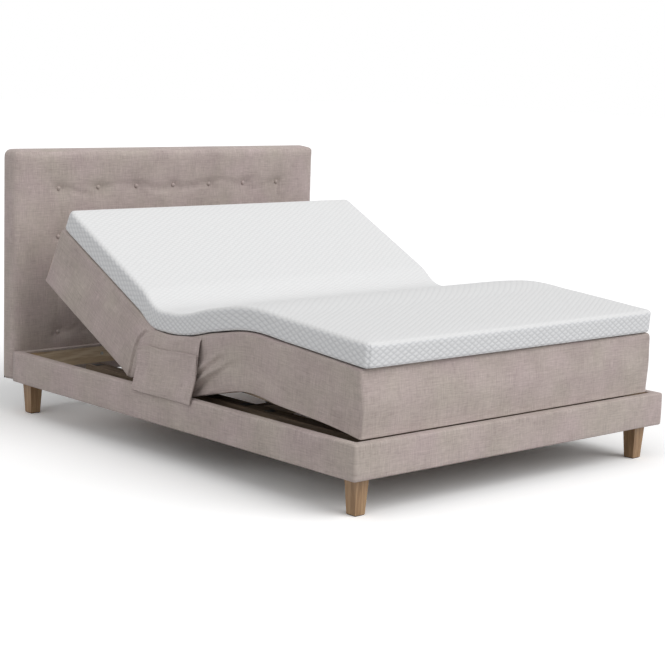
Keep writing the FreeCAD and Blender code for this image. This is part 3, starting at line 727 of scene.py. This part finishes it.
FOOT_LEAN = (0.028, 0.011)                         # at the left and at the right
FOOT_HEM = 0.011
BACK_HEM, HEM_SLACK = 0.029, 0.005                 # all round, and more beside the flap
BASE_RAIL_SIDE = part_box("base_rail_right")[1][0] + 0.004
BASE_RAIL_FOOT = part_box("base_rail_right")[0][1] - 0.004


def settle_box(flat):
    """Let the box's top sink, and its sides less and less down to 90 mm below it."""
    flat[:, 2] -= settle(flat[:, 1]) * smooth((flat[:, 2] - BOX_TOP + 0.09) / 0.08)


def hang_foot_end(flat):
    """At the foot the cover leans in towards its top, and its hem hangs below the frame."""
    height = (flat[:, 2] - BOX_BOTTOM) / (BOX_TOP - BOX_BOTTOM)
    at_end = smooth((FLAT_FOOT_Y + 0.10 - flat[:, 1]) / 0.09)
    lean = np.interp(flat[:, 0], (-BOX_HALF, BOX_HALF), FOOT_LEAN)
    # 2 mm out below and 1.5 mm out at the sides, clear of the timber frame's corners
    flat[:, 1] += at_end * (lean * smooth((height - 0.36) / 0.64) - 0.002)
    flat[:, 0] += np.sign(flat[:, 0]) * 0.0015 * at_end
    drop = FOOT_HEM * np.clip((FLAT_FOOT_Y + 0.26 - flat[:, 1]) / 0.25, 0, 1) ** 2
    # the hem clears the base rails when the bed is flat
    outside = np.maximum(smooth((np.abs(flat[:, 0]) - BASE_RAIL_SIDE) / 0.02),
                         smooth((BASE_RAIL_FOOT - flat[:, 1]) / 0.02))
    flat[:, 2] -= drop * outside * (1 - smooth((flat[:, 2] - BOX_BOTTOM) / 0.05))


def hang_back_hem(flat):
    """Round the back section the cover's lower edge hangs as a deep hem."""
    low_part = 1 - smooth((flat[:, 2] - BOX_BOTTOM) / 0.09)
    edge = np.maximum(smooth((np.abs(flat[:, 0]) - BOX_HALF + 0.03) / 0.016),
                      smooth((flat[:, 1] - FLAT_HEAD_Y + 0.03) / 0.016))
    from_hinge = smooth((flat[:, 1] - BACK_PIVOT[1] - 0.006) / 0.06)
    depth = BACK_HEM + bell(flat[:, 1] - BACK_PIVOT[1] - 0.08, HEM_SLACK, 0.035)
    flat[:, 2] -= depth * low_part * edge * from_hinge


# the crease down the back cover's side, on the flap's head side: flat (y, z) points
BACK_CREASE = [(0.205, 0.468), (0.226, 0.421), (0.228, 0.377), (0.223, 0.320), (0.216, 0.275),
               (0.214, 0.236)]
CREASE_DEPTH, CREASE_WIDTH = 0.0055, 0.005


def press_crease(flat):
    """Press a soft groove into the back cover's sides, with a low roll along it."""
    across, along, outside = beside_curve(flat, BOX_HALF, BACK_CREASE, CREASE_WIDTH)
    inside = (along > 0.001) & (along < 0.999) | (np.abs(across) < 1.5)
    groove = bell(across - 2.2, 0.8, 1.2) - bell(across, 1.0, 1.0)
    flat[:, 0] += np.sign(flat[:, 0]) * CREASE_DEPTH * groove * outside * inside


def lines(start, step, count):
    return tuple(start + step * i for i in range(count))


def make_box():
    """The upholstered box: one rigid back part and a cover from the seat to the foot."""
    # closer grid lines where the crease and the folds run
    creased = lines(BACK_PIVOT[1] + 0.03, 0.009, 8)
    folded = lines(-0.15, -0.0115, 10) + lines(-0.283, -0.0115, 14)
    back = box_piece("box_back", BACK_PIVOT[1] + SECTION_GAP / 2, FLAT_HEAD_Y, 0.0, creased)
    subdivide(back)
    flat = read_points(back)
    hang_back_hem(flat)
    settle_box(flat)
    press_crease(flat)
    write_points(back, raise_back(flat))
    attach(back, "back")
    dress(back, CLOTH, "upholstery_cloth", 0.9)
    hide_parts("back_upholstery")

    whole = box_piece("box_seat_to_foot", FLAT_FOOT_Y, BACK_PIVOT[1] - SECTION_GAP / 2, 0.001,
                      (THIGH_SEAM_Y,) + folded)
    subdivide(whole)
    flat = read_points(whole)
    hang_foot_end(flat)
    settle_box(flat)
    behind = read(whole.data.polygons, "center")[:, 1] > THIGH_SEAM_Y
    thigh, knee = (Bend(*bend, BOX_BOTTOM, BOX_TOP) for bend in (THIGH_BEND, KNEE_BEND))
    write_points(whole, np.where(flat[:, 1, None] > THIGH_SEAM_Y, thigh.place(flat),
                                 knee.place(flat)))
    pull_folds(whole, BOX_HALF - 0.002)
    cut_up(whole, [("box_seat", thigh, behind, ["seat_upholstery", "thigh_upholstery"]),
                   ("box_leg", knee, ~behind, ["leg_upholstery"])],
           CLOTH, "upholstery_cloth", 0.9)


# ------------------------ headboard
TOP_CORNER = 0.036                                 # radius of the upper corners
TUFT_DEPTH, TUFT_SWAY = 0.009, 0.003               # the dip at a button, and the wide one
BUTTON_RADIUS, BUTTON_HEIGHT, BUTTON_SEAT = 0.0095, 0.0055, 0.0085


def button_places():
    """Centres (x, z) of the CAD's buttons: their points lie near the marks of a 0.1 m grid."""
    mesh = frame["nodes"]["headboard_buttons"].data
    points = np.array([(v.co[0], v.co[2]) for v in mesh.vertices], float)
    centres = []
    for key in np.unique(np.round(points / 0.1).astype(int), axis=0):
        near = points[np.all(np.abs(points / 0.1 - key) < 0.5, axis=1)].mean(0)
        group = points[np.linalg.norm(points - near, axis=1) < 0.03]
        centre = (group.min(0) + group.max(0)) / 2
        if all(np.linalg.norm(centre - other) > 0.05 for other in centres):
            centres.append(centre)
    return np.array(centres)


def round_top_corners(points):
    inner = np.column_stack([np.clip(points[:, 0], TOP_CORNER - HALF_WIDTH,
                                     HALF_WIDTH - TOP_CORNER),
                             np.minimum(points[:, 2], PADDING_HIGH[2] - TOP_CORNER)])
    away = points[:, [0, 2]] - inner
    reach = np.linalg.norm(away, axis=1)
    points[:, [0, 2]] = inner + away * np.minimum(1, TOP_CORNER / np.maximum(reach, 1e-9))[:, None]


def make_headboard():
    """A padded board, tufted at its buttons."""
    low, high = PADDING_LOW, PADDING_HIGH
    buttons = button_places()
    board = rounded_box("headboard_cover", low + (0, 0.002, 0), high, (0.024, 0.022, 0.024),
                        (0.024, 0.004, 0.024), (0.0145, 0.02, 0.0145))
    points = read_points(board)
    round_top_corners(points)
    front, back = points[:, 1] < low[1] + 0.03, points[:, 1] > high[1] - 0.02
    distance = np.min(np.linalg.norm(points[:, None, [0, 2]] - buttons[None], axis=2), axis=1)
    dip = bell(distance, TUFT_DEPTH, 0.018) + bell(distance, TUFT_SWAY, 0.055)
    points[:, 1] += np.where(front, dip, 0)
    write_points(board, points)
    puff(board, 4.0, 0.004, np.where(back | front & (distance < 0.012), 1.0, 0.0))
    subdivide(board)
    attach(board, "frame")
    dress(board, CLOTH, "upholstery_cloth", 0.8)
    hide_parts("headboard_padding")
    make_buttons(buttons, low[1])


def dome(centre, radius, height):
    """Points and faces of a covered button that faces -Y, with a rolled edge."""
    rings, around = 6, 20
    points, faces = [(centre[0], centre[1] - height, centre[2])], []
    for ring in range(1, rings + 1):
        share = ring / rings
        tilt = share * math.radians(100)
        r, y = radius * math.sin(tilt), height * math.cos(tilt)
        for step in range(around):
            angle = 2 * math.pi * step / around
            points.append((centre[0] + r * math.cos(angle), centre[1] - y,
                           centre[2] + r * math.sin(angle)))
    for step in range(around):
        nxt = (step + 1) % around
        faces.append((0, 1 + step, 1 + nxt))
        for ring in range(rings - 1):
            a, b = 1 + ring * around, 1 + (ring + 1) * around
            faces.append((a + step, b + step, b + nxt, a + nxt))
    faces.append(tuple(1 + (rings - 1) * around + step for step in reversed(range(around))))
    return points, faces


def make_buttons(places, front_y):
    points, faces = [], []
    for x, z in places:
        some, ring = dome((x, front_y + BUTTON_SEAT, z), BUTTON_RADIUS, BUTTON_HEIGHT)
        faces += [tuple(i + len(points) for i in face) for face in ring]
        points += some
    uvs = [(points[i][0], points[i][2]) for face in faces for i in face]
    buttons = new_object("covered_buttons", points, faces, uvs)
    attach(buttons, "frame")
    dress(buttons, CLOTH, "upholstery_cloth")
    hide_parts("headboard_buttons")


# ------------------------ rail cover
def sweep(name, rings, outline, along, smooth_faces=True):
    """A closed bar with flat ends: rings[i] is the line that outline's point i follows."""
    count, length = rings.shape[:2]
    sides = [math.dist(a, b) for a, b in zip(outline, outline[1:] + outline[:1])]
    around = np.concatenate([[0], np.cumsum(sides)])
    faces, uvs = [], []
    for i in range(count):
        a, b = i * length, (i + 1) % count * length
        for k in range(length - 1):
            faces.append((a + k, a + k + 1, b + k + 1, b + k))
            uvs += [(along[k], around[i]), (along[k + 1], around[i]),
                    (along[k + 1], around[i + 1]), (along[k], around[i + 1])]
    for k, order in ((0, 1), (length - 1, -1)):
        ring = [i * length + k for i in range(count)][::order]
        faces.append(tuple(ring))
        uvs += [tuple(rings[i // length, k, 1:]) for i in ring]
    return new_object(name, rings.reshape(-1, 3), faces, uvs, smooth_faces)


def rail_profile():
    """Closed outline of the padded cover: (outward from the inner face, height), round in turn."""
    thick = HALF_WIDTH - RAIL_INNER_X
    board = SIDE_BOARD_HIGH[0] - RAIL_INNER_X
    lip = SIDE_BOARD_LOW[2] - RAIL_BOTTOM

    def arc(cx, cz, radius, first, last, count=5):
        turns = [math.radians(first + (last - first) * i / (count - 1)) for i in range(count)]
        return [(cx + radius * math.cos(a), cz + radius * math.sin(a)) for a in turns]

    edge, fold = 0.008, lip / 2                    # radii outside and inside
    face_height = RAIL_TOP - RAIL_BOTTOM - 2 * edge
    bulge = [(thick + 0.001 * math.sin(math.pi * t), RAIL_TOP - edge - t * face_height)
             for t in (0.17, 0.33, 0.5, 0.67, 0.83)]
    return (arc(fold, RAIL_TOP - fold, fold, 180, 90, 4)
            + [(thick * 0.45, RAIL_TOP + 0.0012)]
            + arc(thick - edge, RAIL_TOP - edge, edge, 90, 0)
            + bulge
            + arc(thick - edge, RAIL_BOTTOM + edge, edge, 0, -90)
            + arc(fold, RAIL_BOTTOM + fold, fold, -90, -180, 4)
            + [(0.0005, RAIL_BOTTOM + lip), (board, RAIL_BOTTOM + lip),
               (board, RAIL_TOP - lip), (0.0005, RAIL_TOP - lip)])


RAIL_CORNER = 0.011                                # plan radius at the rails' outer corners
RIPPLE = 0.0007                                    # unevenness of the padding along the rails


def rail_path(outward):
    """Plan line round the rails at one distance outward: left side, foot, right side."""
    x, y = RAIL_INNER_X + outward, RAIL_INNER_Y - outward
    radius = max(0.0005, RAIL_CORNER - (HALF_WIDTH - RAIL_INNER_X - outward))
    straight, across = (round(length / 0.02) for length in (HEAD_Y - FOOT_Y, 2 * HALF_WIDTH))
    left = [(-x, HEAD_Y + (y + radius - HEAD_Y) * i / straight) for i in range(straight)]
    left += [(-x + radius - radius * math.cos(a), y + radius - radius * math.sin(a))
             for a in np.linspace(0, math.pi / 2, 6)]
    foot = [(-x + radius + (2 * x - 2 * radius) * i / across, y) for i in range(1, across)]
    return np.array(left + foot + [(-px, py) for px, py in reversed(left)])


def make_rail_cover():
    """One padded cover swept along the left, foot and right rails."""
    outline = rail_profile()
    ripple = random.uniform(-1, 1, (4, 3))
    rings = np.array([[(x, y, z) for x, y in rail_path(out)] for out, z in outline])
    steps = np.linalg.norm(np.diff(rail_path(0.0), axis=0), axis=1)
    along = np.concatenate([[0], np.cumsum(steps)])
    wave = sum(RIPPLE * r[0] * np.sin(along * (5 + 4 * i + r[1]) + 3 * r[2])
               for i, r in enumerate(ripple))
    for ring, (out, _) in zip(rings, outline):
        if out > SIDE_BOARD_HIGH[0] - RAIL_INNER_X + 0.002:      # only outside the board
            normal = ring[:, :2] - rail_path(out - 0.004)
            normal /= np.maximum(np.linalg.norm(normal, axis=1, keepdims=True), 1e-9)
            ring[:, :2] += normal * wave[:, None]
    cover = sweep("rail_cover", rings, outline, along)
    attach(cover, "frame")
    dress(cover, CLOTH, "upholstery_cloth", 0.9)
    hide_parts("rail_cover_left", "rail_cover_right", "rail_cover_foot")


# ------------------------ side flaps
ROLL = 0.024                                       # radius of the box's top edge
FLAP_ROLL = (BOX_HALF - ROLL, BOX_TOP - ROLL)      # its centre
FLAP_BEND = (HALF_WIDTH + 0.0035, RAIL_TOP + 0.002)
FLAP_HEM = (HALF_WIDTH + 0.0045, FLAPS_LOW[2] + 0.011)
FLAP_ROWS, FLAP_COLUMNS = 46, 46
FLAP_THICK, POCKET_THICK = 0.0024, 0.0022
MOUTH_SHARE = 0.27                                 # the pocket's mouth, down the flap
HEM_ROLL = 0.0016                                  # how far the flap's side hems stand out
TUCK_DEPTH, TUCK_Y, TUCK_REACH = 0.042, 0.085, 0.09     # at the upper corner by the back
# the flap's two edges: y at each share of the way down
FOOT_EDGE = ([0, 0.3, 0.6, 1], [-0.190, -0.203, -0.220, -0.217])
HEAD_EDGE = ([0, 0.25, 0.6, 1], [0.172, 0.176, 0.162, 0.163])


def flap_line(lift):
    """Points down the flap from the box's top edge to the hem, lifted off its own surface."""
    turns = np.radians([62, 45, 28, 12])
    radius = ROLL + 0.0035
    line = [(FLAP_ROLL[0] + radius * math.cos(a), FLAP_ROLL[1] + radius * math.sin(a))
            for a in turns]
    line = np.array(line + [FLAP_BEND, FLAP_HEM])
    reach = np.concatenate([[0], np.cumsum(np.linalg.norm(np.diff(line, axis=0), axis=1))])
    spots = np.linspace(0, reach[-1], FLAP_ROWS)
    line = np.column_stack([np.interp(spots, reach, line[:, i]) for i in range(2)])
    for _ in range(2):
        line[1:-1] = (line[:-2] + 2 * line[1:-1] + line[2:]) / 4
    normal = np.gradient(line, axis=0)
    normal = np.column_stack([-normal[:, 1], normal[:, 0]])
    normal /= np.linalg.norm(normal, axis=1, keepdims=True)
    return line + normal * lift[:, None], reach[-1]


def make_sheet(name, side, first_row, lift, edge_in, waves):
    """A sheet down the flap's line from first_row on, as a mid-surface to be thickened."""
    lifted, total = flap_line(lift)
    points, faces, uvs = [], [], []
    shares = np.linspace(0, 1, FLAP_ROWS)
    for i in range(first_row, FLAP_ROWS):
        share = shares[i]
        foot = np.interp(share, *FOOT_EDGE) + edge_in
        head = np.interp(share, *HEAD_EDGE) - edge_in
        for y in np.linspace(foot, head, FLAP_COLUMNS):
            ripple = sum(a * math.sin(f * y * 20 + p) for a, f, p in waves) * share
            tuck = TUCK_DEPTH * max(0.0, (y - TUCK_Y) / TUCK_REACH) ** 2 * (1 - share) ** 2
            hem = bell(min(y - foot, head - y), HEM_ROLL, 0.007)
            points.append((side * (lifted[i, 0] + ripple + hem + tuck * 0.3), y,
                           lifted[i, 1] - tuck - settle(y) * (1 - share)))
    down, step = total / (FLAP_ROWS - 1), (head - foot) / (FLAP_COLUMNS - 1)
    for i in range(FLAP_ROWS - first_row - 1):
        for k in range(FLAP_COLUMNS - 1):
            a = i * FLAP_COLUMNS + k
            ring = [a, a + 1, a + FLAP_COLUMNS + 1, a + FLAP_COLUMNS]
            spots = [(k, i), (k + 1, i), (k + 1, i + 1), (k, i + 1)]
            if side < 0:
                ring.reverse()
                spots.reverse()
            faces.append(ring)
            uvs += [(p * step, q * down) for p, q in spots]
    return new_object(name, points, faces, uvs), total


def thicken(sheet, thickness):
    modifier = sheet.modifiers.new("Cloth thickness", "SOLIDIFY")
    modifier.thickness = thickness
    modifier.offset = 0
    apply_modifiers(sheet)
    subdivide(sheet)


def make_flaps():
    shares = np.linspace(0, 1, FLAP_ROWS)
    first = round(MOUTH_SHARE * (FLAP_ROWS - 1))
    # the pocket stands off the flap at its mouth, with a stitch line below the mouth's hem
    below = shares - shares[first]
    gap = (0.0028 + 0.0050 * np.clip(1 - below / 0.5, 0, 1) ** 2
           - bell(below - 0.055, 0.0022, 0.018))
    for side, word in ((-1, "left"), (1, "right")):
        waves = [(0.0014, 1.0, 0.6), (0.0009, 2.3, 1.9 * side)]
        flap, total = make_sheet("flap_" + word, side, 0, np.zeros(FLAP_ROWS), 0.0, waves)
        thicken(flap, FLAP_THICK)
        pocket, _ = make_sheet("pocket_" + word, side, first, gap, 0.001, waves)
        thicken(pocket, POCKET_THICK)
        for sheet, length in ((flap, total), (pocket, total * (1 - shares[first]))):
            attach(sheet, "frame")
            dress(sheet, CLOTH, "upholstery_cloth")
        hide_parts("side_flaps")
        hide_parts("pocket_patches")


# ------------------------ head rail's cloth edging
def make_head_edging():
    """The cloth folded over the head rail's bare top edge."""
    low, high = low_high("head_rail")
    thick, lap = 0.0018, 0.007
    outline = [(low[1], high[2] - lap), (low[1], high[2]), (high[1], high[2]),
               (high[1], high[2] + thick), (low[1] + 0.001, high[2] + thick),
               (low[1] - thick * 0.7, high[2] + thick * 0.7), (low[1] - thick, high[2] - 0.001),
               (low[1] - thick, high[2] - lap)]
    xs = np.linspace(-RAIL_INNER_X, RAIL_INNER_X, 82)
    rings = np.array([[(x, y, z) for x in xs] for y, z in outline])
    edging = sweep("head_rail_edging", rings, outline, xs, smooth_faces=False)
    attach(edging, "frame")
    dress(edging, CLOTH, "upholstery_cloth")


# ------------------------ camera, light and stage
# fitted to the photo; the turn is yaw from +Y, pitch down and roll, in degrees
CAMERA_PLACE, CAMERA_TURN = (-4.784, -5.285, 1.574), (42.476, 9.088, 1.910)
CAMERA_LENS, SENSOR_WIDTH = 93.03, 36


def make_camera():
    yaw, pitch, roll = (math.radians(a) for a in CAMERA_TURN)
    camera = bpy.data.cameras.new("camera")
    camera.lens, camera.sensor_width = CAMERA_LENS, SENSOR_WIDTH
    obj = bpy.data.objects.new("camera", camera)
    obj.matrix_world = (Matrix.Translation(CAMERA_PLACE) @ Matrix.Rotation(-yaw, 4, "Z")
                        @ Matrix.Rotation(math.pi / 2 - pitch, 4, "X")
                        @ Matrix.Rotation(roll, 4, "Z"))
    bpy.context.scene.collection.objects.link(obj)
    bpy.context.scene.camera = obj


def soft_sun(name, way, spread, level):
    """A distant softbox; level is the light it gives a level floor, where 1 shows white."""
    way = Vector(way).normalized()
    light = bpy.data.lights.new(name, "SUN")
    light.angle = math.radians(spread)
    light.energy = level * math.pi / way.z
    obj = bpy.data.objects.new(name, light)
    obj.rotation_mode = "QUATERNION"
    obj.rotation_quaternion = way.to_track_quat("Z", "Y")
    bpy.context.scene.collection.objects.link(obj)


def seen_directly(tree):
    """1 where the camera sees a surface straight on or by reflection or through glass."""
    path = tree.nodes.new("ShaderNodeLightPath")
    value = path.outputs["Is Camera Ray"]
    for name in ("Is Glossy Ray", "Is Transmission Ray"):
        node = tree.nodes.new("ShaderNodeMath")
        node.operation = "MAXIMUM"
        tree.links.new(value, node.inputs[0])
        tree.links.new(path.outputs[name], node.inputs[1])
        value = node.outputs["Value"]
    return value


def make_world(fill):
    world = bpy.data.worlds.new("studio")
    bpy.context.scene.world = world
    world.use_nodes = True
    tree = world.node_tree
    background = tree.nodes["Background"]
    mix = tree.nodes.new("ShaderNodeMixRGB")
    mix.inputs[1].default_value = (fill, fill, fill, 1)
    mix.inputs[2].default_value = (1, 1, 1, 1)
    tree.links.new(seen_directly(tree), mix.inputs[0])
    tree.links.new(mix.outputs[0], background.inputs["Color"])


def make_floor():
    """A wide plain floor, white to the eye, pale in the light it throws back."""
    size = 40.0
    floor = new_object("floor", [(-size, -size, 0), (size, -size, 0), (size, size, 0),
                                 (-size, size, 0)], [(0, 1, 2, 3)])
    n = Nodes("pale_floor")
    mix = n.make("ShaderNodeMixRGB", {0: seen_directly(n.tree), 1: (0.62, 0.62, 0.62, 1),
                                      2: (1.15, 1.15, 1.15, 1)})
    n.finish(mix.outputs[0], 1.0)
    n.shader.inputs["Specular IOR Level"].default_value = 0.0
    floor.data.materials.append(n.material)


def make_studio():
    scene = bpy.context.scene
    scene.view_settings.view_transform = "Standard"
    make_world(0.4)
    soft_sun("key", (0.38, -0.8, 0.75), 50, 0.355)
    soft_sun("left_fill", (-0.62, -0.15, 0.85), 60, 0.20)
    make_floor()


make_camera()
make_studio()
finish_cad_nodes()
make_topper()
make_box()
make_headboard()
make_rail_cover()
make_flaps()
make_head_edging()
